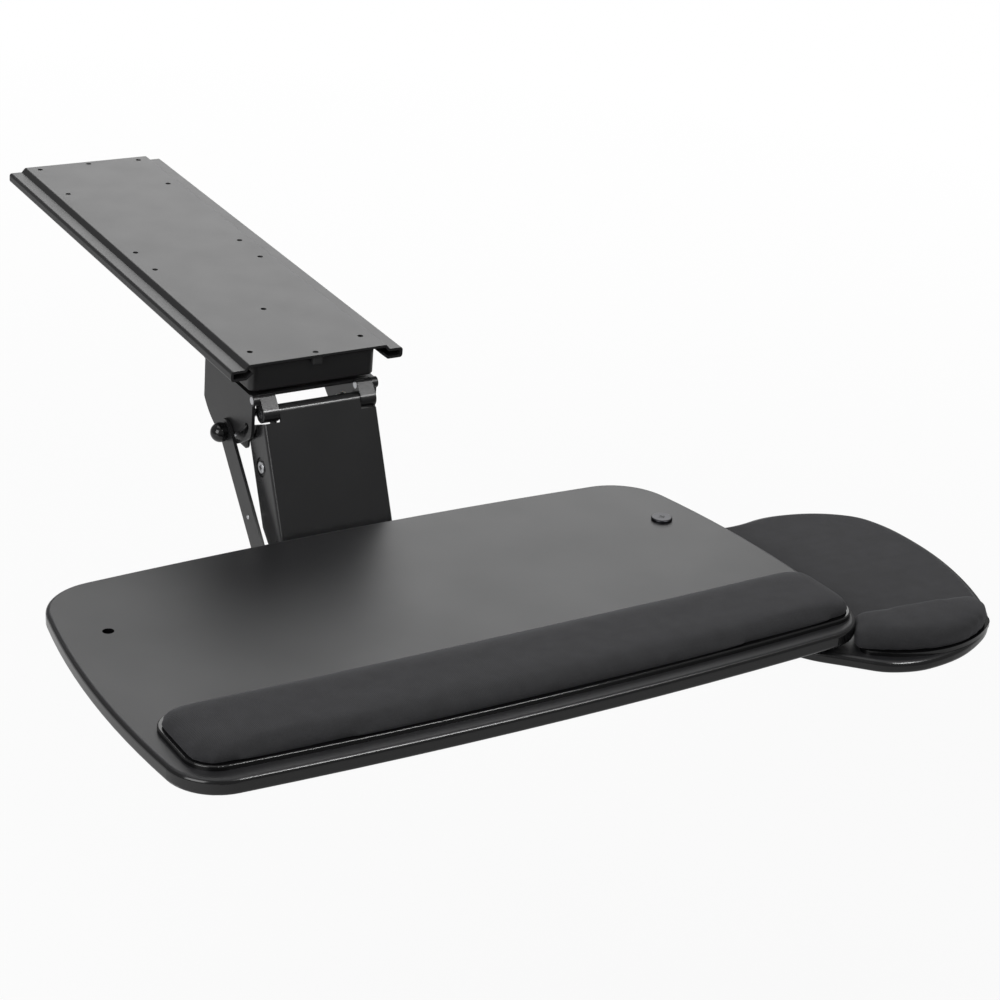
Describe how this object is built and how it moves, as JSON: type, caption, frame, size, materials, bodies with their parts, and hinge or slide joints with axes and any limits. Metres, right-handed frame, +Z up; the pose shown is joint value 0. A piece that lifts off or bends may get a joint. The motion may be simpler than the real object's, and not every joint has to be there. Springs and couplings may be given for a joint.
{
  "type": "keyboard tray under desk",
  "caption": "Keyboard tray for a desk's underside: board with padded palm rest and a side mouse platform, on a sliding, swivelling, lifting arm.",
  "frame": {"origin": "centre of the track's top face, which lies against the desk", "axes": "+X to the user's right, +Y back along the track under the desk, +Z up"},
  "size_m": [0.6638, 0.8358, 0.1635],
  "materials": {
    "satin_black_steel": "satin black powder coat",
    "bright_steel": "bright zinc plate",
    "grey_rubber": "matt grey",
    "white_nylon": "natural nylon",
    "gloss_black_plastic": "polished black",
    "board_black": "fine satin black laminate",
    "black_fabric": "fine stretch knit"
  },
  "bodies": {
    "track": {"track": "satin_black_steel", "front_stop": "grey_rubber", "rear_stop": "grey_rubber"},
    "carriage": {"carriage_pan": "satin_black_steel", "carriage_glides": "white_nylon", "swivel_bearing": "white_nylon"},
    "bracket": {"swivel_bracket": "satin_black_steel", "swivel_pivot": "bright_steel", "swivel_washer": "white_nylon", "hinge_straps": "satin_black_steel", "strap_pins": "bright_steel", "arm_hinge_pin": "bright_steel", "link_rod": "bright_steel"},
    "arm": {"arm_channel": "satin_black_steel", "arm_spreader": "bright_steel", "side_screws": "bright_steel", "side_nuts": "bright_steel"},
    "inner_link": {"inner_link": "satin_black_steel", "link_bushes": "white_nylon"},
    "yoke": {"yoke": "satin_black_steel", "lower_hinge_pin": "bright_steel", "rear_pin": "bright_steel", "bar_spacer": "bright_steel"},
    "lock_bar": {"lock_bar": "satin_black_steel", "bar_rivet": "bright_steel", "lock_stud": "bright_steel"},
    "lock_knob": {"ball_knob": "gloss_black_plastic"},
    "tray": {"tray_bracket": "satin_black_steel", "board_screws": "bright_steel", "tilt_pin": "bright_steel", "tilt_nut": "bright_steel", "tray_board": "board_black", "palm_base": "gloss_black_plastic", "palm_pad": "black_fabric", "mouse_bolt": "bright_steel", "mouse_spacer": "bright_steel", "mouse_nut": "satin_black_steel"},
    "mouse_tray": {"mouse_platform": "board_black", "mouse_pad": "black_fabric", "mouse_rest_base": "gloss_black_plastic", "mouse_rest_pad": "black_fabric"}
  },
  "joints": [
    {"name": "track_slide", "type": "slide", "parent": "track", "child": "carriage", "axis": [0, -1, 0], "range_m": [-0.32, 0]},
    {"name": "swivel", "type": "hinge", "parent": "carriage", "child": "bracket", "pos_m": [0, -0.173, -0.0256], "axis": [0, 0, 1], "range_deg": [-60, 60]},
    {"name": "arm_lift", "type": "hinge", "parent": "bracket", "child": "arm", "pos_m": [0, -0.227, -0.04], "axis": [-1, 0, 0], "range_deg": [-6, 48]},
    {"name": "link_swing", "type": "hinge", "parent": "bracket", "child": "inner_link", "pos_m": [0, -0.211, -0.046], "axis": [-1, 0, 0], "range_deg": [-6, 48]},
    {"name": "yoke_level", "type": "hinge", "parent": "arm", "child": "yoke", "pos_m": [0, -0.27575, -0.14746], "axis": [-1, 0, 0], "range_deg": [-48, 6]},
    {"name": "bar_swing", "type": "hinge", "parent": "yoke", "child": "lock_bar", "pos_m": [-0.0516, -0.25975, -0.15346], "axis": [-1, 0, 0], "range_deg": [-4.2, 33.6]},
    {"name": "knob_turn", "type": "hinge", "parent": "lock_bar", "child": "lock_knob", "pos_m": [-0.0516, -0.18506, -0.07081], "axis": [-1, 0, 0], "range_deg": [-180, 180]},
    {"name": "tray_tilt", "type": "hinge", "parent": "yoke", "child": "tray", "pos_m": [0, -0.29905, -0.13956], "axis": [-1, 0, 0], "range_deg": [-12, 12]},
    {"name": "mouse_swivel", "type": "hinge", "parent": "tray", "child": "mouse_tray", "pos_m": [0.2209, -0.36989, -0.12591], "axis": [0, 0.0569, 0.9984], "range_deg": [0, 90]}
  ],
  "couplings": [
    {"joint": "link_swing", "follows": "arm_lift", "ratio": 1},
    {"joint": "yoke_level", "follows": "arm_lift", "ratio": -1},
    {"joint": "bar_swing", "follows": "arm_lift", "ratio": 0.7}
  ]
}
